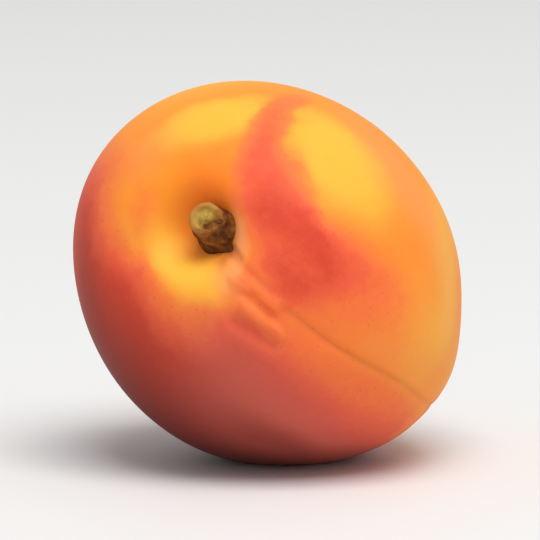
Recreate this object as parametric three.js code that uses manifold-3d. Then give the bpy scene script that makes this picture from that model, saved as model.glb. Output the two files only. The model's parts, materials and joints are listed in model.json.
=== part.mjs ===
// A ripe apricot as picked, with the short stub of its stalk still seated in the stalk hollow.
// Two solids, in millimetres, with +Z up: the fruit, grown as one piece, and the woody stub.
// The fruit lies on one cheek on a small flat spot, its stalk end raised towards -Y. The origin is
// on the surface that it rests on, under the middle of its box.
//
// Both solids are shaped in the fruit's own frame, whose +Z runs out along the stalk, +X towards
// the seam and +Y towards a cheek. The last section turns that frame to the way the fruit lies.
import * as THREE from "three";
import { mergeVertices } from "three/addons/utils/BufferGeometryUtils.js";
import Module from "manifold-3d";

const { PI, sin, cos, exp, hypot, tanh } = Math;
const degrees = PI / 180;

// ---- Driving dimensions, mm and degrees ----
const SEAM_HALF = 25.9; // middle to the seam, half of the widest way across
const CHEEK_HALF = 22.9; // middle to a cheek, half of the narrowest way across
const LENGTH_HALF = 26.2; // middle to the stalk end or the tip, before the ends are shaped
const SHOULDER = 0.045; // share by which the stalk end is broader, and the tip end narrower
const FLANK = 0.024; // share by which the flanks beside the seam are flatter than an ellipse
const FULL_CHEEK = {
  share: 0.01, // one cheek is fuller by this share, in a broad patch of it
  reach: 0.55,
  at: new THREE.Vector3(-0.4, 0.85, 0.25),
};

const HOLLOW = {
  depth: 4.3, // the funnel round the stalk
  reach: 4.2,
  offSeam: -0.5, // its deepest place, off the stalk: the wall towards the seam is the gentler one
  offCheek: -0.6,
  dishDepth: 1.5, // the wide, low dish that leads down to it
  dishReach: 7.5,
  dishOffSeam: -2.7, // the dish lies off the stalk too
  dishOffCheek: -1.9,
  foldDepth: 0.9, // a shallow fold that runs out of the funnel, away from the seam
  foldReach: 2.4,
  foldPeak: 4, // how far out the fold is deepest
  foldEnd: 14, // and where it has died away
  foldTurn: 235 * degrees, // its way out, round the stalk from the seam
};
const TIP = {
  height: 0.9, // the point left by the flower
  reach: 1.4,
  dishDepth: 0.9, // the low dish it stands in
  dishReach: 6,
};
const SEAM = {
  valleyDepth: 0.95, // the wide, soft valley between the two cheeks, at the stalk end
  valleyReach: 4.6,
  creaseDepth: 0.4, // the sharp line at its foot
  creaseReach: 0.7,
  lipHeight: 0.35, // one cheek stands this much prouder than the other
  lipReach: 4,
  waistShare: 0.3, // the share of all three that is left half way down
  waistFrom: 80 * degrees, // where it is down to that, round from the stalk
  waistTo: 110 * degrees, // and where it begins to deepen again
  tipShare: 0.8, // the share of all three at the tip
  startsAt: 3, // how far from the stalk's axis it starts
  fullAt: 17, // and is at its full depth
  drift: 2, // how far the line drifts towards the +Y cheek
  sway: 1.8, // how far it swings back near the stalk
  swayAt: 44 * degrees, // where it does, round from the stalk
  swayReach: 20 * degrees,
};

const LEAN = 67.5 * degrees; // from upright to lying, stalk end 22.5 degrees above level
const SEAM_TURN = -37 * degrees; // turn about the stalk, which brings the seam low on the +X side
const SPOT_DEPTH = 0.8; // how much of the cheek the flat spot takes

const STUB = {
  length: 5.6,
  footRadius: 3.05,
  waistRadius: 2.25,
  endRadius: 2.1,
  ringHeight: 0.15, // the raised scars of the bud scales
  ringCount: 5,
  cupDepth: 0.6, // the broken end is dished
  seatDepth: 1.2, // how far the foot sits below the floor of the hollow
  lean: 9 * degrees,
  leanTurn: 127 * degrees, // the way that it leans, round from the seam
  bow: 0.2, // and curves by this much on the way
};
const CLEARANCE = 0.3; // the gap between the stub and its seat in the fruit

const FRUIT_SEGMENTS = 72; // round the stalk
const FRUIT_RINGS = 40; // from the stalk to the tip
const STUB_SEGMENTS = 20;
const STUB_STEPS = 16; // along the stub

const SKIN = { color: 0xf0923a, roughness: 0.55, metalness: 0 };
const WOOD = { color: 0x8a6a35, roughness: 0.85, metalness: 0 };

// ---- Helpers ----
const wasm = await Module();
wasm.setup();

const bell = (distance, reach) => exp(-((distance / reach) ** 2));
const smoothstep = THREE.MathUtils.smoothstep;

// A closed three.js geometry as a solid that can be cut.
function toSolid(geometry) {
  const bare = geometry.clone();
  for (const name of Object.keys(bare.attributes)) {
    if (name !== "position") bare.deleteAttribute(name);
  }
  const welded = mergeVertices(bare, 1e-4);
  return new wasm.Manifold(
    new wasm.Mesh({
      numProp: 3,
      vertProperties: new Float32Array(welded.attributes.position.array),
      triVerts: new Uint32Array(welded.index.array),
    }),
  );
}

function toGeometry(solid) {
  const { numProp, numVert, vertProperties, triVerts } = solid.getMesh();
  const positions = new Float32Array(numVert * 3);
  for (let i = 0; i < numVert; i++) {
    positions.set(vertProperties.subarray(i * numProp, i * numProp + 3), i * 3);
  }
  const geometry = new THREE.BufferGeometry();
  geometry.setAttribute("position", new THREE.BufferAttribute(positions, 3));
  geometry.setIndex(new THREE.BufferAttribute(new Uint32Array(triVerts), 1));
  geometry.computeVertexNormals();
  return geometry;
}

// Moves each vertex of a geometry to where `shape` puts it.
function reshape(geometry, shape) {
  const position = geometry.attributes.position;
  const point = new THREE.Vector3();
  for (let i = 0; i < position.count; i++) {
    shape(point.fromBufferAttribute(position, i));
    position.setXYZ(i, point.x, point.y, point.z);
  }
  return geometry;
}

// ---- The fruit ----

// How full the fruit is in a direction, against a plain ellipsoid: flatter beside the seam, most of
// all on the side it lies on, fuller on one cheek, and with low, broad lumps all over.
function fullness(direction) {
  const { x, y, z } = direction;
  const flank = 4 * x * x * y * y * (1 + 0.5 * x - 0.5 * y);
  const cheek = bell(direction.distanceTo(FULL_CHEEK.at), FULL_CHEEK.reach);
  const broad = sin(2.6 * x + 3.4 * y + 0.8) * 0.006;
  const crossing = sin(3.7 * y - 2.9 * z + 2.0) * 0.005;
  const small = sin(5.2 * z + 3.3 * x + 4.4) * 0.004;
  return 1 - FLANK * flank + FULL_CHEEK.share * cheek + broad + crossing + small;
}

// The sideways place of the seam's line, at an angle round from the stalk.
function seamLine(fromStalk) {
  return SEAM.drift * sin(fromStalk) - SEAM.sway * bell(fromStalk - SEAM.swayAt, SEAM.swayReach);
}

// How much of the seam's relief there is, at an angle round from the stalk.
function seamShare(fromStalk) {
  const toWaist = smoothstep(fromStalk, SEAM.waistFrom / 3, SEAM.waistFrom);
  const toTip = smoothstep(fromStalk, SEAM.waistTo, 165 * degrees);
  return 1 - (1 - SEAM.waistShare) * toWaist + (SEAM.tipShare - SEAM.waistShare) * toTip;
}

// How deep the seam is pressed in at a point: a valley, a crease, and one cheek the prouder.
function seamRelief(point, fromStalk) {
  const off = point.y - seamLine(fromStalk);
  const valley = SEAM.valleyDepth * bell(off, SEAM.valleyReach);
  const crease = SEAM.creaseDepth * exp(-Math.abs(off) / SEAM.creaseReach);
  const lip = SEAM.lipHeight * tanh(off / SEAM.creaseReach) * bell(off, SEAM.lipReach);
  const share = seamShare(fromStalk) * smoothstep(point.x, SEAM.startsAt, SEAM.fullAt);
  return share * (valley + crease - lip);
}

// How deep the stalk's hollow is at a point, with the fold that runs out of it.
function hollowRelief({ x, y }) {
  const funnel = HOLLOW.depth * bell(hypot(x - HOLLOW.offSeam, y - HOLLOW.offCheek), HOLLOW.reach);
  const fromDish = hypot(x - HOLLOW.dishOffSeam, y - HOLLOW.dishOffCheek);
  const dish = HOLLOW.dishDepth * bell(fromDish, HOLLOW.dishReach);
  const along = x * cos(HOLLOW.foldTurn) + y * sin(HOLLOW.foldTurn);
  const across = y * cos(HOLLOW.foldTurn) - x * sin(HOLLOW.foldTurn);
  const run = smoothstep(along, 0, HOLLOW.foldPeak) - smoothstep(along, HOLLOW.foldPeak, HOLLOW.foldEnd);
  return funnel + dish + HOLLOW.foldDepth * run * bell(across, HOLLOW.foldReach);
}

// How far the tip stands out at a point, in its dish.
function tipRelief({ x, y }) {
  const out = hypot(x, y);
  return TIP.height * bell(out, TIP.reach) - TIP.dishDepth * bell(out, TIP.dishReach);
}

// Takes a point of the unit sphere to its place on the skin.
function skin(point) {
  const fromStalk = Math.acos(THREE.MathUtils.clamp(point.z, -1, 1));
  const full = fullness(point);
  const girth = full * (1 + SHOULDER * point.z);
  point.set(point.x * SEAM_HALF * girth, point.y * CHEEK_HALF * girth, point.z * LENGTH_HALF * full);
  point.multiplyScalar(1 - seamRelief(point, fromStalk) / point.length());
  point.z -= point.z > 0 ? hollowRelief(point) : tipRelief(point);
  return point;
}

// Crowds the sphere's vertices towards the seam and towards both ends, where the shape is finest.
function crowd(point) {
  const fromStalk = Math.acos(THREE.MathUtils.clamp(point.z, -1, 1));
  const fromSeam = Math.atan2(point.y, point.x);
  const polar = fromStalk - 0.2 * sin(2 * fromStalk);
  const around = fromSeam - 0.58 * sin(fromSeam);
  return point.set(sin(polar) * cos(around), sin(polar) * sin(around), cos(polar));
}

// The way the fruit lies, as a turn of its own frame.
const lie = new THREE.Matrix4().makeRotationFromEuler(new THREE.Euler(LEAN, 0, SEAM_TURN, "XYZ"));

// The lowest point of a geometry once the fruit lies down.
function lowest(geometry) {
  const laid = geometry.clone().applyMatrix4(lie);
  laid.computeBoundingBox();
  return laid.boundingBox.min.z;
}

// A block of table, in the fruit's own frame, whose top lies at a height under the fruit as it lies.
function tableBelow(height) {
  const side = 80;
  return new THREE.BoxGeometry(side, side, side)
    .translate(0, 0, height - side / 2)
    .applyMatrix4(lie.clone().invert());
}

const ball = new THREE.SphereGeometry(1, FRUIT_SEGMENTS, FRUIT_RINGS).rotateX(PI / 2);
const wholeFruit = reshape(ball, (point) => skin(crowd(point)));
const restHeight = lowest(wholeFruit) + SPOT_DEPTH;
const hollowFloor = skin(new THREE.Vector3(0, 0, 1)).z;

// ---- The stub of the stalk ----

// Half a section of the stub, from its foot up. `grow` makes it fatter, and its foot lower.
function stubProfile(grow) {
  const { length, footRadius, waistRadius, endRadius, cupDepth } = STUB;
  const edge = 0.25;
  const outline = [new THREE.Vector2(0, -grow)];
  for (let i = 0; i <= STUB_STEPS; i++) {
    const share = i / STUB_STEPS;
    const foot = (footRadius - waistRadius) * (1 - smoothstep(share, 0, 0.45));
    const flare = (endRadius - waistRadius) * smoothstep(share, 0.5, 0.9);
    const ring = STUB.ringHeight * sin(PI * STUB.ringCount * share) ** 2;
    const roundOff = i === 0 || i === STUB_STEPS ? edge : 0;
    const radius = waistRadius + foot + flare + ring - roundOff + grow;
    outline.push(new THREE.Vector2(radius, length * share - grow * (1 - share)));
  }
  outline.push(new THREE.Vector2(endRadius * 0.55, length - cupDepth * 0.8));
  outline.push(new THREE.Vector2(0, length - cupDepth));
  return outline;
}

// The stub, turned on +Z, bowed a little and set leaning in the hollow.
function stubGeometry(grow = 0) {
  const turned = new THREE.LatheGeometry(stubProfile(grow), STUB_SEGMENTS).rotateX(PI / 2);
  const bowed = reshape(turned, (point) => {
    point.x += STUB.bow * (point.z / STUB.length) ** 2;
  });
  return bowed
    .rotateY(STUB.lean)
    .rotateZ(STUB.leanTurn)
    .translate(0, 0, hollowFloor - STUB.seatDepth);
}

// ---- Cutting ----
const laidFruit = toSolid(wholeFruit).subtract(toSolid(tableBelow(restHeight)));
const seatedFruit = laidFruit.subtract(toSolid(stubGeometry(CLEARANCE)));

// ---- The scene graph ----
function node(name, geometry, finish) {
  const mesh = new THREE.Mesh(geometry, new THREE.MeshStandardMaterial(finish));
  mesh.name = name;
  return mesh;
}

const growing = new THREE.Group();
growing.add(node("fruit", toGeometry(seatedFruit), SKIN));
growing.add(node("stalk_stub", stubGeometry(), WOOD));
growing.rotation.set(LEAN, 0, SEAM_TURN, "XYZ");

const apricot = new THREE.Group();
apricot.add(growing);
apricot.updateMatrixWorld(true);
const box = new THREE.Box3().setFromObject(growing, true);
const middle = box.getCenter(new THREE.Vector3());
growing.position.set(-middle.x, -middle.y, -restHeight);

export default apricot;
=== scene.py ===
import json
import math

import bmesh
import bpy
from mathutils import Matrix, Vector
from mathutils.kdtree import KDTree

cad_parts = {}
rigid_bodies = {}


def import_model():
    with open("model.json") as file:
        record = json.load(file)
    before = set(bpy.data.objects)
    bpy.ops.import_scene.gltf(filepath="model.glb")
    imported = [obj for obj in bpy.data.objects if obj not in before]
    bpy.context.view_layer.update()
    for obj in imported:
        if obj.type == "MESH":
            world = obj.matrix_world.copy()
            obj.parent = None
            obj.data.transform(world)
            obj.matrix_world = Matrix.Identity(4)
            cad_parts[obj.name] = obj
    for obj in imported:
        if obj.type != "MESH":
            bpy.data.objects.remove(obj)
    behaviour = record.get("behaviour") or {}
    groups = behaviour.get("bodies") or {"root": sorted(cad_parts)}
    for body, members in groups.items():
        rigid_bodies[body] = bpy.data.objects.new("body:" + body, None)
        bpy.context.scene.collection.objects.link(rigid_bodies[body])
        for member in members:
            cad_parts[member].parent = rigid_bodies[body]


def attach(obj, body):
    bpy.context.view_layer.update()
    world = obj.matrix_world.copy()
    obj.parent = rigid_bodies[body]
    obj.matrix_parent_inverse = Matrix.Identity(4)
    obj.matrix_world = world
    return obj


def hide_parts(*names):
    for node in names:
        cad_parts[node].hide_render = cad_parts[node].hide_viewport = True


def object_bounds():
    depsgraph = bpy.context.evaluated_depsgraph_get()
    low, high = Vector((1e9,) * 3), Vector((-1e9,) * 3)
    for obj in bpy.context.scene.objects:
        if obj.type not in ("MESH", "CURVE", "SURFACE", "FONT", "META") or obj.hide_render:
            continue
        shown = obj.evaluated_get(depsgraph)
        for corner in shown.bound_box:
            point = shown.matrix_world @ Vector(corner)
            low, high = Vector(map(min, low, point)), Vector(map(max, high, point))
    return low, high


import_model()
cad_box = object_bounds()

# A ripe apricot, as picked, lying on one cheek on a pale studio table.
#
# The frame holds two solids: the fruit, and the stub of stalk in its hollow. Both are modelled
# again here at a finer grain, standing upright: +Z out along the stalk, +X towards the seam and
# +Y towards a cheek. Each is then laid down in its solid's place. The stub's flared foot reaches
# further towards the seam than the solid's does, mostly inside the fruit.
#
# A place on the skin is given by its angle from the stalk and its turn round from the seam, both
# in degrees. The skin's colours are placed on a chart of the fruit as seen along its stalk.

MM = 0.001
DEG = math.pi / 180

# ---- Sizes, in millimetres and degrees ----
SEAM_HALF = 25.9      # middle to the seam, half of the widest way across
CHEEK_HALF = 22.9     # middle to a cheek, half of the narrowest way across
LENGTH_HALF = 26.2    # middle to the stalk end or the tip
TAPER = 0.09          # share by which the stalk end is broader than the tip end
LEAN = 67.5           # from upright to lying
SEAM_TURN = -37       # about the stalk, which brings the seam low on the +X side

STUB_FOOT = 19.7      # middle of the fruit to the foot of the stub
STUB_LENGTH = 5.6     # foot to the broken end
STUB_LEAN = 9         # the stub leans by this much
STUB_LEAN_TURN = 114  # towards this side, round from the seam
CHIP_TURN = -10       # the side where its end is chipped away
FIRST_RING = 1.6      # foot of the stub to its first ring scar
RING_SPACING = 1.1    # from one ring scar to the next
SEAM_LINE = 0.45      # half the width of the fine dark line along the seam

LYING = Matrix.Rotation(LEAN * DEG, 3, "X") @ Matrix.Rotation(SEAM_TURN * DEG, 3, "Z")
MIDDLE = Vector((0.196, 0.041, 22.543)) * MM   # where the fruit's middle lies above the table
STUB_LEANING = math.tan(STUB_LEAN * DEG)       # how far the stub leans for each millimetre up


# ---- The bench: one piece at a time, and what is picked on it ----

def take(piece):
    """Puts one piece on the bench, and nothing else."""
    if bpy.context.object and bpy.context.object.mode != "OBJECT":
        bpy.ops.object.mode_set(mode="OBJECT")
    bpy.ops.object.select_all(action="DESELECT")
    piece.select_set(True)
    bpy.context.view_layer.objects.active = piece


def open_mesh(piece):
    """Opens one piece's mesh, to pick and move its points."""
    take(piece)
    bpy.ops.object.mode_set(mode="EDIT")


def close_mesh():
    bpy.ops.object.mode_set(mode="OBJECT")


def pick(piece, kind, test):
    """Picks the vertices, edges or faces of the open mesh that pass a test."""
    bpy.ops.mesh.select_mode(type={"verts": "VERT", "edges": "EDGE", "faces": "FACE"}[kind])
    bpy.ops.mesh.select_all(action="DESELECT")
    mesh = bmesh.from_edit_mesh(piece.data)
    for part in getattr(mesh, kind):
        part.select = test(part)
    mesh.select_flush_mode()
    bmesh.update_edit_mesh(piece.data)


def apply(piece, kind, name, **settings):
    """Adds a modifier and applies it."""
    take(piece)
    modifier = piece.modifiers.new(name, kind)
    for setting, value in settings.items():
        setattr(modifier, setting, value)
    bpy.ops.object.modifier_apply(modifier=modifier.name)


def refine(piece, name, levels):
    """Gives a piece smaller faces and rounds it between them."""
    apply(piece, "SUBSURF", name, levels=levels, render_levels=levels)


def pull(way, reach, falloff="SMOOTH"):
    """Moves what is picked, in millimetres, and draws the skin round it along."""
    bpy.ops.transform.translate(
        value=Vector(way) * MM,
        use_proportional_edit=True,
        proportional_edit_falloff=falloff,
        proportional_size=reach * MM,
    )


def press(depth, reach, falloff="SMOOTH"):
    """Presses what is picked into the skin, or with a depth below 0 raises it."""
    bpy.ops.transform.shrink_fatten(
        value=-depth * MM,
        use_proportional_edit=True,
        proportional_edit_falloff=falloff,
        proportional_size=reach * MM,
    )


# ---- Places on the fruit ----

def sideways(turn):
    """The level direction at a turn round from the seam."""
    return Vector((math.cos(turn * DEG), math.sin(turn * DEG), 0))


def toward(from_stalk, turn):
    """The direction from the fruit's middle to a place on its skin."""
    out = math.sin(from_stalk * DEG)
    return Vector((out * math.cos(turn * DEG), out * math.sin(turn * DEG), math.cos(from_stalk * DEG)))


def from_stalk_of(co):
    """A point's angle from the stalk."""
    return math.atan2(math.hypot(co.x, co.y), co.z) / DEG


def turn_of(co):
    """A point's turn round from the seam."""
    return math.atan2(co.y, co.x) / DEG


def on_seam(low, high):
    """A test for the seam's own vertices, between two angles from the stalk."""
    return lambda point: (
        any(edge.seam for edge in point.link_edges) and low <= from_stalk_of(point.co) <= high
    )


def along_line(start, end, width=0.3):
    """A test for vertices near a straight line, as seen down the stalk, in millimetres."""
    start, end = Vector(start) * MM, Vector(end) * MM
    way = end - start

    def near(point):
        if point.co.z < 0:
            return False
        place = point.co.xy
        share = min(max((place - start).dot(way) / way.length_squared, 0), 1)
        return (start + way * share - place).length < width * MM

    return near


def thumb(piece, from_stalk, turn, depth, reach):
    """Presses a thumb into the fruit there, or with a depth below 0 pulls it out."""
    way = toward(from_stalk, turn)
    points = bmesh.from_edit_mesh(piece.data).verts
    nearest = max(points, key=lambda point: point.co.normalized().dot(way)).index
    pick(piece, "verts", lambda point: point.index == nearest)
    pull(-depth * way, reach)


# ---- The fruit ----

HAIR = 1e-4    # two heights on a ball of radius 1 are the same if they are closer than this
SLACK = 0.1    # degrees by which an edge may stick out past the turns it is picked between


def level_edges(low, high):
    """A test for the level edges of a ball of radius 1 that lie between two turns."""
    def level(edge):
        start, end = (point.co for point in edge.verts)
        if abs(start.z - end.z) > HAIR or abs(start.z) > 1 - HAIR:
            return False
        return all(low - SLACK < turn_of(co) < high + SLACK for co in (start, end))

    return level


def down_seam_side(edge):
    """Whether an edge of the upright ball runs straight down its +X side."""
    next_to_nothing = 1e-7
    ends = (point.co for point in edge.verts)
    return all(abs(co.y) < next_to_nothing and co.x > -next_to_nothing for co in ends)


def start_fruit():
    """A ball with a line of edges for the seam, finer beside it, drawn out to the fruit's widths."""
    bpy.ops.object.select_all(action="DESELECT")
    bpy.ops.mesh.primitive_uv_sphere_add(segments=96, ring_count=48, radius=1)
    fruit = bpy.context.object
    fruit.name = fruit.data.name = "apricot_fruit"
    open_mesh(fruit)
    # Halved beside the seam and again close to it, so that its valley has faces fine enough
    for low, high in ((-22.5, 11.25), (-5.7, 5.7)):
        pick(fruit, "edges", level_edges(low, high))
        bpy.ops.mesh.subdivide(number_cuts=1)
    close_mesh()
    apply(fruit, "CAST", "round_again", factor=1, size=1, radius=0)
    open_mesh(fruit)
    bpy.ops.mesh.select_all(action="SELECT")
    half_sizes = Vector((SEAM_HALF, CHEEK_HALF, LENGTH_HALF)) * MM
    bpy.ops.transform.resize(value=half_sizes, center_override=(0, 0, 0))
    pick(fruit, "edges", down_seam_side)
    bpy.ops.mesh.mark_seam()
    close_mesh()
    apply(fruit, "SIMPLE_DEFORM", "narrower_tip", deform_method="TAPER", deform_axis="Z", factor=TAPER)
    return fruit


def shape_fruit(fruit):
    """The broad forms: flatter flanks, low lumps, the stalk's hollow and the dished tip."""
    flanks = (
        (98, 34, 1.4, 17),
        (85, 60, 0.3, 16),
        (90, -42, 0.45, 16),
        (85, -135, 0.7, 20),
        (130, 180, 0.5, 16),
        (64, 26, 0.55, 12),
        (128, 30, 0.4, 12),
        (92, 27, 0.62, 15),
    )
    shoulders = ((26, -45, 0.2, 9), (38, 110, -0.4, 13))
    hollow = ((8, 215, 1.6, 14), (3.5, 235, 4.2, 7.4))
    fold = ((12, 235, 0.45, 4.5), (18, 235, 0.45, 4.5), (24, 235, 0.45, 4.5))
    tip = ((162, 135, 0.2, 13), (180, 0, 0.9, 9), (180, 0, -1.6, 2.2))
    open_mesh(fruit)
    for from_stalk, turn, depth, reach in flanks + shoulders + hollow + fold + tip:
        thumb(fruit, from_stalk, turn, depth, reach)
    close_mesh()


def place_seam(fruit):
    """Draws the seam's line towards one cheek, and back towards the other near the stalk."""
    open_mesh(fruit)
    for low, high, shift, reach in ((85, 100, 2.0, 30), (41, 47, -0.95, 14)):
        pick(fruit, "verts", on_seam(low, high))
        pull((0, shift, 0), reach)
    close_mesh()


def press_seam_valley(fruit):
    """The soft valley along the seam, which is deepest at the stalk and runs up to the tip."""
    open_mesh(fruit)
    for low, high, depth, reach in ((10, 148, 0.25, 7), (14, 40, 0.6, 8), (130, 146, 0.2, 6)):
        pick(fruit, "verts", on_seam(low, high))
        press(depth, reach)
    pick(fruit, "verts", on_seam(152, 170))
    pull((0, 0, 0.4), 5)
    close_mesh()


def smooth_hollow_foot(fruit):
    """Smooths the steep foot of the hollow's wall, where the valley runs out under the stub."""
    hollow_foot = 15 * MM
    steep = 0.25

    def on_steep_wall(face):
        centre = face.calc_center_median()
        return centre.z > hollow_foot and face.normal.dot(centre.normalized()) < steep

    open_mesh(fruit)
    pick(fruit, "faces", on_steep_wall)
    bpy.ops.mesh.select_more()
    bpy.ops.mesh.vertices_smooth(factor=0.5, repeat=12)
    close_mesh()


def crease_seam(fruit):
    """The fine crease at the valley's foot."""
    open_mesh(fruit)
    for low, high, depth, reach in ((36, 170, 0.14, 1.2), (46, 74, 0.12, 1.6)):
        pick(fruit, "verts", on_seam(low, high))
        press(depth, reach, "SHARP")
    close_mesh()


def paint_seam_line(fruit):
    """Notes on each vertex how near the seam it is, for the dark line in the skin's finish."""
    seam_ends = {end for edge in fruit.data.edges if edge.use_seam for end in edge.vertices}
    line = KDTree(len(seam_ends))
    for index in seam_ends:
        line.insert(fruit.data.vertices[index].co, index)
    line.balance()
    nearness = fruit.data.attributes.new("seam_line", "FLOAT", "POINT")
    for vertex in fruit.data.vertices:
        distance = line.find(vertex.co)[2] / MM
        nearness.data[vertex.index].value = math.exp(-((distance / SEAM_LINE) ** 2))


def pucker_hollow_rim(fruit):
    """Where the seam leaves the hollow, the skin is drawn into short ridges and grooves beside it."""
    open_mesh(fruit)
    puckers = (
        ((7.6, -1.9), (13.0, -1.3), -0.45, 1.3),
        ((10.2, -2.5), (13.2, -2.6), 0.38, 1.0),
        ((10.5, -3.6), (14.9, -3.8), -0.5, 1.3),
        ((10.8, -5.8), (15.2, -4.6), 0.5, 1.4),
    )
    for start, end, depth, reach in puckers:
        pick(fruit, "verts", along_line(start, end))
        press(depth, reach)
    # A short groove at the stub's foot, pulled, because pressing would fold so steep a wall
    pick(fruit, "verts", along_line((4.0, 0.0), (5.8, -0.3)))
    pull((0.22, 0, -0.42), 1.0)
    close_mesh()


def lay_down(piece, lift=0.0):
    """Lays an upright piece down in its place, its own origin lifted this far up the stalk's line."""
    piece.data.transform(Matrix.Translation((0, 0, lift * MM)))
    piece.data.transform(LYING.to_4x4())
    piece.data.transform(Matrix.Translation(MIDDLE))


def flatten_spot(fruit):
    """Presses flat what would sink into the table, which is the spot that the fruit rests on."""
    open_mesh(fruit)
    pick(fruit, "verts", lambda point: point.co.z < 0)
    bpy.ops.transform.resize(value=(1, 1, 0), center_override=(0, 0, 0))
    close_mesh()


def make_fruit():
    """The whole fruit: broad forms first, then finer ones on smaller faces."""
    fruit = start_fruit()
    shape_fruit(fruit)
    refine(fruit, "finer_skin", 1)
    place_seam(fruit)
    press_seam_valley(fruit)
    smooth_hollow_foot(fruit)
    refine(fruit, "finer_skin", 1)
    crease_seam(fruit)
    pucker_hollow_rim(fruit)
    paint_seam_line(fruit)
    lay_down(fruit)
    flatten_spot(fruit)
    bpy.ops.object.shade_smooth()
    return fruit


# ---- The stub of stalk ----

def start_stub():
    """An upright stub with a flared foot, swollen rings and a shallow cup in its broken end."""
    height, radius = 1, 3.1
    bpy.ops.object.select_all(action="DESELECT")
    bpy.ops.mesh.primitive_cylinder_add(
        vertices=20, radius=radius * MM, depth=height * MM, location=(0, 0, height / 2 * MM)
    )
    stalk = bpy.context.object
    stalk.name = stalk.data.name = "apricot_stalk"
    bpy.ops.object.transform_apply(location=True, rotation=True, scale=True)
    open_mesh(stalk)
    pick(stalk, "faces", lambda face: face.calc_center_median().z > 0.9 * height * MM)
    # The height and radius of each turn of the outline, one ring to a row
    outline = (
        (1.5, 3.05), (1.8, 3.1), (2.1, 3.05), (2.3, 2.8),
        (2.6, 2.65), (2.8, 2.75), (3.0, 2.7), (3.2, 2.45),
        (3.5, 2.35), (3.7, 2.42), (4.1, 2.36), (4.3, 2.15),
        (4.8, 2.1), (5.0, 2.15), (5.4, 2.05), (STUB_LENGTH, 1.75),
    )
    for next_height, next_radius in outline:
        up = (0, 0, (next_height - height) * MM)
        bpy.ops.mesh.extrude_region_move(TRANSFORM_OT_translate={"value": up})
        share = next_radius / radius
        bpy.ops.transform.resize(value=(share, share, 1), center_override=(0, 0, 0))
        height, radius = next_height, next_radius
    # The broken end: a rim, a shallow cup inside it and a low rise in the cup's middle
    for inset, rise in ((0.3, -0.05), (0.25, -0.3), (0.6, 0.05), (0.3, 0.2)):
        bpy.ops.mesh.inset(thickness=inset * MM)
        bpy.ops.transform.translate(value=(0, 0, rise * MM))
    bpy.ops.mesh.poke()
    close_mesh()
    return stalk


def on_stub(low=-1, high=STUB_LENGTH + 1, side=(0, 0, 0), out=-1):
    """A test for the stub's points between two heights, and past a distance out to one side."""
    side = Vector(side)
    return lambda point: low * MM < point.co.z < high * MM and point.co.dot(side) > out * MM


def bend_stub(stalk):
    """Leans the stub, bows its lower half towards the seam and chips its end."""
    open_mesh(stalk)
    pick(stalk, "verts", on_stub(low=5.2))
    pull(sideways(STUB_LEAN_TURN) * STUB_LEANING * STUB_LENGTH, STUB_LENGTH, "LINEAR")
    # The whole foot, then the seam's side of the foot, then of the wood above it
    pick(stalk, "verts", on_stub(high=2.2))
    pull((0.8, 0.45, 0), 2.8)
    pick(stalk, "verts", on_stub(high=2.2, side=(1, 0, 0), out=1.5))
    pull((0.7, 0.1, 0), 2.8)
    pick(stalk, "verts", on_stub(low=2, high=4.2, side=(1, 0.4, 0), out=1.9))
    pull((0.75, 0.4, 0), 2)
    # The chipped corner of the end
    pick(stalk, "verts", on_stub(low=5.1, side=sideways(CHIP_TURN), out=1.1))
    pull((0, 0, -0.7), 1.6)
    close_mesh()


def roughen_stub(stalk):
    """Makes the stub uneven above its foot, and more so near the broken end."""
    open_mesh(stalk)
    for low, offset, evenness, seed in ((1.2, 0.13, 0.3, 5), (4.4, 0.2, 0.2, 8)):
        pick(stalk, "verts", on_stub(low=low))
        bpy.ops.transform.vertex_random(offset=offset * MM, uniform=evenness, seed=seed)
    close_mesh()


def make_stalk():
    """A short woody stub, ringed by the scars of bud scales, broken off unevenly at its end."""
    stalk = start_stub()
    bend_stub(stalk)
    roughen_stub(stalk)
    refine(stalk, "rounder_wood", 2)
    lay_down(stalk, STUB_FOOT)
    take(stalk)
    bpy.ops.object.shade_smooth()
    return stalk


# ---- Finishes ----

class Value:
    """A number that varies over a surface. Python's operators on it add its Math nodes."""

    def __init__(self, finish, socket):
        self.finish = finish
        self.socket = socket

    def maths(self, operation, *values):
        return self.finish.node("Math", {"operation": operation}, *values)

    def __add__(self, other):
        return self.maths("ADD", self, other)

    def __sub__(self, other):
        return self.maths("SUBTRACT", self, other)

    def __mul__(self, other):
        return self.maths("MULTIPLY", self, other)

    def __truediv__(self, other):
        return self.maths("DIVIDE", self, other)

    def __pow__(self, other):
        return self.maths("POWER", self, other)

    def __neg__(self):
        return self * -1

    def __radd__(self, other):
        return self.maths("ADD", other, self)

    def __rsub__(self, other):
        return self.maths("SUBTRACT", other, self)

    def __rmul__(self, other):
        return self.maths("MULTIPLY", other, self)

    def __rtruediv__(self, other):
        return self.maths("DIVIDE", other, self)

    def step(self, low, high):
        """0 below low and 1 above high, with a smooth rise between; the other way if low > high."""
        smooth = {"interpolation_type": "SMOOTHSTEP"}
        return self.finish.node("MapRange", smooth, self, low, high, 0, 1)


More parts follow.
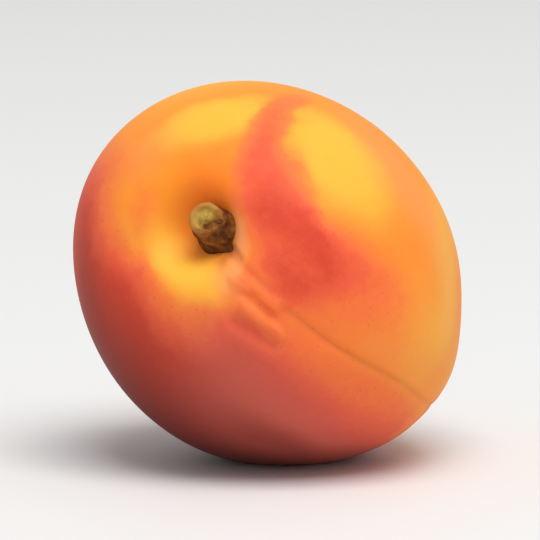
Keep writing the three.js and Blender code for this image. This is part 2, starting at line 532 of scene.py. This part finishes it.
class Finish:
    """A material, with one method that adds any node to it. Its sockets' names have _ for spaces."""

    def __init__(self, name, **constants):
        self.material = bpy.data.materials.new(name)
        self.material.use_nodes = True
        self.tree = self.material.node_tree
        self.shader = self.tree.nodes["Principled BSDF"]
        for socket, value in constants.items():
            self.shader.inputs[socket.replace("_", " ")].default_value = value

    def node(self, kind, settings, *values, output=None):
        """Adds a node: its settings first, then its sockets in order. None leaves a socket alone."""
        node = self.tree.nodes.new("ShaderNode" + kind)
        for name, setting in settings.items():
            setattr(node, name, setting)
        sockets = [socket for socket in node.inputs if socket.enabled]
        for socket, value in zip(sockets, values):
            self.put(socket, value)
        outputs = [socket for socket in node.outputs if socket.enabled]
        found = next((socket for socket in outputs if socket.name == output), outputs[0])
        return Value(self, found)

    def put(self, socket, value):
        """Links or sets one socket."""
        if isinstance(value, Value):
            self.tree.links.new(value.socket, socket)
        elif value is not None:
            socket.default_value = value

    def in_upright_fruit(self):
        """The place in the upright fruit, in millimetres from its middle."""
        place = self.node("TexCoord", {}, output="Object")
        turned_back = {"vector_type": "TEXTURE"}
        return self.node("Mapping", turned_back, place, MIDDLE, LYING.to_euler("XYZ"), (MM, MM, MM))

    def noise(self, place, scale, detail=3.0, roughness=0.5, output="Fac"):
        """Clouds of light and dark, finer at a larger scale."""
        return self.node("TexNoise", {}, place, scale, detail, roughness, output=output)

    def cells(self, place, scale, output):
        """Scattered dots: how far the nearest one is, or its own random colour."""
        return self.node("TexVoronoi", {"feature": "F1"}, place, scale, output=output)

    def vector_maths(self, operation, *values, output="Vector"):
        return self.node("VectorMath", {"operation": operation}, *values, output=output)

    def split(self, vector):
        """A vector's three numbers, or a colour's."""
        return [self.node("SeparateXYZ", {}, vector, output=axis) for axis in "XYZ"]

    def mix(self, share, first, second):
        """The first colour, with a share of the second over it."""
        return self.node("Mix", {"data_type": "RGBA"}, share, rgb(first), rgb(second))

    def feed(self, **sockets):
        """Links or sets the shader's own sockets."""
        for name, value in sockets.items():
            self.put(self.shader.inputs[name.replace("_", " ")], value)


def rgb(colour):
    """A plain colour with the fourth number that its socket takes. A linked one stays as it is."""
    return (*colour, 1) if isinstance(colour, tuple) else colour


def union(values):
    """At least one of several shares."""
    left = 1
    for value in values:
        left = left * (1 - value)
    return 1 - left


# Linear colours of the skin
GOLD = (0.92, 0.46, 0.05)
AMBER = (0.94, 0.31, 0.010)
VIVID = (0.96, 0.20, 0.012)
ORANGE = (0.92, 0.27, 0.03)
SALMON = (0.88, 0.19, 0.05)
CORAL = (0.80, 0.115, 0.05)
RED = (0.65, 0.063, 0.03)
ROSE = (0.60, 0.135, 0.10)
PEACH = (0.90, 0.33, 0.13)
# Crimson serves the deepest blush, painted shade on the lower side, and the seam's line
CRIMSON = (0.11, 0.006, 0.004)
FRECKLE = (0.50, 0.06, 0.03)
# A painted shadow beside the stub's foot
STUB_SHADOW = (0.30, 0.05, 0.006)

# Linear colours of the stub
BARK = (0.080, 0.021, 0.004)
TWIG = (0.23, 0.078, 0.014)
# Tan of the ring scars and the end's rim, also painted as glints on the broken end
SCAR_TAN_AND_GLINT = (0.46, 0.185, 0.045)
PITH = (0.44, 0.285, 0.055)


class Skin(Finish):
    """The skin's material, with the places on the fruit that its colours go by.

    upright is the place in millimetres, and x, y and z are the way to it from the fruit's middle.
    """

    def __init__(self, name, **constants):
        super().__init__(name, **constants)
        self.upright = self.in_upright_fruit()
        self.x, self.y, self.z = self.split(self.vector_maths("NORMALIZE", self.upright))
        self.from_stalk = self.z.maths("ARCCOSINE", self.z) / DEG
        self.tip_half = self.from_stalk.step(70, 110)
        self.chart = self.draw_chart()
        self.hollow_wall = self.find_hollow_wall()

    def draw_chart(self):
        """Degrees from the stalk, laid out flat, with +u over the seam, and made to wander a little."""
        out = (self.x * self.x + self.y * self.y) ** 0.5
        u = self.from_stalk * self.x / out
        v = self.from_stalk * self.y / out
        chart = self.node("CombineXYZ", {}, u, v)
        for scale, sway in ((0.14, 8), (0.6, 1.8)):
            wander = self.noise(self.upright, scale, 2.0, output="Color")
            wander = self.vector_maths("SUBTRACT", wander, (0.5, 0.5, 0))
            chart = self.vector_maths("MULTIPLY_ADD", wander, (sway, sway, 0), chart)
        return chart

    def patch(self, u, v, along, across, slant=0.0, soft=0.5):
        """An oval on the chart: its middle, half-widths and slant, and how soft its edge is."""
        turned_back = {"vector_type": "TEXTURE"}
        turn, size = (0, 0, slant * DEG), (along, across, 1)
        oval = self.node("Mapping", turned_back, self.chart, (u, v, 0), turn, size)
        reach = self.vector_maths("LENGTH", oval, output="Value")
        return reach.step(1 + soft, 1 - soft)

    def find_hollow_wall(self):
        """The hollow's wall below the stub, a gold crescent on the sunny cheek."""
        return union([
            self.patch(5, -14, 13, 6, 6, 0.8),
            self.patch(-8, -13, 8, 5, -35, 0.8) * 0.8,
            self.patch(14, -9, 6, 5, 40, 0.8) * 0.7,
            self.patch(-15, -18, 6, 4.5, -35, 0.9) * 0.65,
        ])


def gold_of(skin):
    """Where the skin stayed gold: two patches towards the +Y cheek, the hollow's wall, and drifts."""
    return union([
        skin.patch(-24, 24, 17, 9, 62, 0.5),
        skin.patch(10, 43, 22, 13, -14, 0.5),
        skin.hollow_wall,
        skin.patch(62, 60, 32, 12, -50, 0.8) * 0.55,
        skin.patch(66, 26, 16, 12, 0, 0.9) * 0.4,
        skin.patch(76, 24, 9, 18, 0, 0.8) * 0.45,
        skin.patch(-60, 40, 20, 26, 0, 0.8) * 0.5,
        skin.patch(-20, -9, 7, 8, 0, 0.9) * 0.4,
        skin.patch(15, -18, 8, 6, 0, 0.9) * 0.75,
        skin.noise(skin.upright, 0.05, 2.0).step(0.4, 0.65) * skin.tip_half * 0.4,
    ])


def ground_of(skin):
    """The colour under the blush: orange and gold, with amber, vivid orange and peach beside them."""
    ground = skin.mix(gold_of(skin), ORANGE, GOLD)
    amber = skin.patch(-19, -4, 8, 10, 0, 0.9) * (1 - skin.hollow_wall) * 0.7
    ground = skin.mix(amber, ground, AMBER)
    vivid = skin.patch(-2, 6, 11, 9, 0, 0.6) * (1 - skin.hollow_wall) * 0.8
    ground = skin.mix(vivid, ground, VIVID)
    peach = union([
        skin.patch(18, -5, 6, 4.5, 0, 0.8) * 0.7,
        # The patch beside the stub, on the seam's side, is partly a peach tone and partly painted light
        # on the hollow's wall there.
        skin.patch(9.5, 6, 9, 3, -55, 0.8) * 0.8,
        skin.patch(24, 60, 28, 9, -12, 0.9) * 0.35,
        skin.patch(68, 9, 15, 10, 0, 0.9) * 0.25,
        skin.patch(-31, 2, 8, 10, 0, 0.9) * 0.25,
    ])
    return skin.mix(peach, ground, PEACH)


def sunny_cheek(skin):
    """The -Y cheek, reddened by the sun: paler beside the hollow, and uneven towards the tip."""
    drift = (skin.noise(skin.upright, 0.07, 3.0) - 0.5) * skin.tip_half
    sunny = (drift - skin.y).step(-0.12, 0.38) * skin.from_stalk.step(12, 22) * (1 - skin.hollow_wall)
    for paler in (
        skin.patch(8, -21, 14, 8, 0, 0.9) * 0.75,
        skin.patch(-25, -12, 13, 9, -60, 0.9) * 0.8,
        skin.patch(25, -9, 9, 6, 0, 0.9) * 0.4,
        skin.patch(52, -9, 16, 6, 0, 0.9) * 0.2,
    ):
        sunny = sunny * (1 - paler)
    return sunny


def blush_of(skin):
    """How red the skin is: a streak between the gold patches, a lobe beside the seam, and a cheek."""
    blush = union([
        skin.patch(-18, 47, 10, 4, 112, 0.8) * 0.33,
        skin.patch(-9, 32, 10, 5, 122, 0.8) * 0.5,
        skin.patch(1, 22, 9, 6, 140, 0.7) * 0.55,
        skin.patch(21, 15, 17, 8, -6, 0.5) * 0.8,
        skin.patch(28, 6, 9, 7, 0, 0.8) * 0.75,
        skin.patch(36, 15, 17, 12, 20, 0.8) * 0.4,
        skin.patch(36, 21, 9, 5, 10, 0.8) * 0.35,
        skin.patch(27, -14, 5, 4, 0, 0.8) * 0.35,
        skin.patch(77, -4, 14, 6, 0, 0.9) * 0.15,
        skin.patch(12, 18, 8, 6, 0, 0.8) * 0.25,
        skin.patch(9, 26, 9, 5, -45, 0.9) * 0.25,
        skin.patch(56, 18, 26, 22, 0, 0.9) * 0.12,
        sunny_cheek(skin) * 0.9,
    ])
    paler_by_seam = skin.patch(24, 9.5, 13, 3.5, 0, 0.9) * 0.22
    blush = blush * (1 - paler_by_seam)
    mottle = skin.noise(skin.upright, 0.8, 3.0) * 0.22 + skin.noise(skin.upright, 3.0, 2.0) * 0.12
    return blush + (mottle - 0.17) * blush.step(0.0, 0.3)


def add_blush(skin, blush, ground):
    """Lays salmon, coral and red over the ground as the blush deepens, then rose, and crimson that is
    partly the sunny cheek's deepest blush and partly painted shade on the lower side.
    """
    colour = skin.mix(blush.step(0.0, 0.35), ground, SALMON)
    colour = skin.mix(blush.step(0.3, 0.65), colour, CORAL)
    colour = skin.mix(blush.step(0.6, 0.95), colour, RED)
    rose = (-skin.y).step(0.05, 0.45) * skin.x.step(0.1, 0.6)
    colour = skin.mix(rose * 0.75, colour, ROSE)
    # Crimson: partly the deepest blush of the sunny cheek, partly painted shade. It darkens towards the
    # lower side, and the two patches are painted shade, one low at the bottom and one on the lower
    # left.
    deep_blush_and_painted_shade = union([
        (skin.x * 0.03 - skin.y - skin.z * 0.1).step(0.25, 0.95) * 0.88,
        skin.patch(57, -42, 15, 7, 0, 0.9) * 0.35,
        skin.patch(-27, -38, 18, 8, -47, 0.9) * 0.3,
    ])
    return skin.mix(deep_blush_and_painted_shade, colour, CRIMSON)


def add_freckles(skin, blush, colour):
    """Red freckles, thickest where the blush fades out. About half of the dots are chosen."""
    dots_per_mm = 1.1
    dots = skin.cells(skin.upright, dots_per_mm, "Distance").step(0.2, 0.08)
    chosen = skin.split(skin.cells(skin.upright, dots_per_mm, "Color"))[0].step(0.45, 0.6)
    strength = 0.05 + 0.3 * blush.step(0.02, 0.25) * blush.step(0.8, 0.4)
    return skin.mix(dots * chosen * strength, colour, FRECKLE)


def add_seam_and_tip(skin, colour):
    """A dark line along the seam, and the dry point that the flower left at the tip."""
    near_seam = skin.node("Attribute", {"attribute_name": "seam_line"}, output="Fac")
    colour = skin.mix(near_seam * skin.from_stalk.step(178, 165) * 0.12, colour, CRIMSON)
    point = (skin.from_stalk + skin.noise(skin.upright, 1.5, 2.0) * 1.5).step(178.8, 180)
    return skin.mix(point * 0.7, colour, BARK)


def finish_skin():
    """Orange skin with gold patches, a red blush on the sunny cheek, and short down all over."""
    skin = Skin(
        "apricot_skin",
        Specular_IOR_Level=0.12,
        Subsurface_Weight=0.5,
        Subsurface_Radius=(1.0, 0.35, 0.12),
        Subsurface_Scale=4 * MM,
        Sheen_Weight=0.03,
        Sheen_Roughness=0.45,
        Sheen_Tint=(1.0, 0.86, 0.78, 1),
    )
    blush = blush_of(skin)
    colour = add_blush(skin, blush, ground_of(skin))
    # Painted shadow: a dark red-brown patch beside the stub's foot, on the seam's side, standing in for
    # the stub's shadow on the skin.
    painted_stub_shadow = skin.patch(8, 0, 3, 4.5, 30, 0.8) * 0.6
    colour = skin.mix(painted_stub_shadow, colour, STUB_SHADOW)
    colour = add_freckles(skin, blush, colour)
    colour = add_seam_and_tip(skin, colour)

    # The down and the pores, too fine for the mesh
    down = skin.noise(skin.upright, 5.0, 3.0, 0.6)
    pores = skin.cells(skin.upright, 2.2, "Distance").step(0.0, 0.35)
    height = down * 0.6 + pores * 0.4
    skin.feed(
        Base_Color=colour,
        Roughness=0.5 + 0.12 * down,
        Normal=skin.node("Bump", {}, 0.25, 0.06 * MM, None, height),
    )
    return skin.material


def finish_stalk():
    """Dark young bark, paler on the ring scars, with an olive and tan broken end."""
    wood = Finish("stalk_wood", Specular_IOR_Level=0.08)
    upright = wood.in_upright_fruit()
    x, y, z = wood.split(upright)
    up = z - STUB_FOOT
    leaning = sideways(STUB_LEAN_TURN) * STUB_LEANING
    off_x = x - up * leaning.x
    off_y = y - up * leaning.y
    radius = (off_x * off_x + off_y * off_y) ** 0.5
    chip = sideways(CHIP_TURN)
    chipped = off_x * chip.x + off_y * chip.y
    grain = wood.noise(upright, 1.3, 4.0, 0.6)
    fine = wood.noise(upright, 5.0, 3.0, 0.6)
    blotch = wood.noise(upright, 0.7, 2.0)

    # The bark, with broken ring scars
    phase = (up - FIRST_RING) * (2 * math.pi / RING_SPACING)
    scars = phase.maths("COSINE", phase).step(0.0, 1.0) * grain.step(0.4, 0.65)
    bark = wood.mix(blotch.step(0.35, 0.7), BARK, TWIG)
    bark = wood.mix(scars * 0.5, bark, SCAR_TAN_AND_GLINT)

    # The broken end: olive in the middle, tan at the rim and darker where it is chipped, with pale tan
    # flecks as painted highlights
    end = wood.mix((radius + grain * 1.4).step(1.7, 2.4) * 0.8, PITH, SCAR_TAN_AND_GLINT)
    end = wood.mix((chipped + grain * 2.4).step(1.1, 2.1) * 0.7, end, TWIG)
    # Painted highlights: pale tan flecks standing in for glints on the rough end.
    end = wood.mix(fine.step(0.56, 0.7) * 0.6, end, SCAR_TAN_AND_GLINT)
    at_end = (up + grain * 0.7 - 0.35).step(5.0, 5.3)
    wood.feed(
        Base_Color=wood.mix(at_end, bark, end),
        Roughness=0.7 + 0.2 * grain,
        Normal=wood.node("Bump", {}, 0.6, 0.2 * MM, None, grain * 0.7 + fine * 0.3),
    )
    return wood.material


fruit = make_fruit()
fruit.data.materials.append(finish_skin())
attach(fruit, "root")
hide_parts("fruit")

stalk = make_stalk()
stalk.data.materials.append(finish_stalk())
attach(stalk, "root")
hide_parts("stalk_stub")


# ---- The studio ----

def make_table():
    """A pale table, large enough to fill the view behind the fruit."""
    bpy.ops.object.select_all(action="DESELECT")
    bpy.ops.mesh.primitive_plane_add(size=20, location=(0, 0, 0))
    table = bpy.context.object
    table.name = "studio_table"
    pale = Finish("pale_table", Base_Color=(0.78, 0.78, 0.77, 1), Roughness=0.6)
    table.data.materials.append(pale.material)


def make_camera(azimuth=21, elevation=8, distance=0.7, lens=376):
    """A camera this far round and above the fruit, in degrees, and this far away, in metres."""
    data = bpy.data.cameras.new("camera")
    data.lens = lens
    data.clip_end = 50
    camera = bpy.data.objects.new("camera", data)
    bpy.context.scene.collection.objects.link(camera)
    level = math.cos(elevation * DEG)
    back = Vector((
        math.sin(azimuth * DEG) * level,
        -math.cos(azimuth * DEG) * level,
        math.sin(elevation * DEG),
    ))
    low, high = cad_box
    camera.location = (low + high) / 2 + back * distance
    camera.rotation_mode = "QUATERNION"
    camera.rotation_quaternion = back.to_track_quat("Z", "Y")
    bpy.context.scene.camera = camera


def make_light(place=(0.52, -0.6, 1.88), size=1.4, power=37.8, surround_strength=0.5):
    """One large soft lamp, turned to the fruit, in a plain white surround."""
    world = bpy.data.worlds.new("studio")
    world.use_nodes = True
    surround = world.node_tree.nodes["Background"]
    surround.inputs["Color"].default_value = (1, 1, 1, 1)
    surround.inputs["Strength"].default_value = surround_strength
    bpy.context.scene.world = world
    lamp = bpy.data.lights.new("softbox", "AREA")
    lamp.shape = "SQUARE"
    lamp.size = size
    lamp.energy = power
    softbox = bpy.data.objects.new("softbox", lamp)
    bpy.context.scene.collection.objects.link(softbox)
    softbox.location = place
    softbox.rotation_mode = "QUATERNION"
    softbox.rotation_quaternion = softbox.location.to_track_quat("Z", "Y")


make_table()
make_camera()
make_light()
bpy.context.scene.view_settings.view_transform = "Standard"
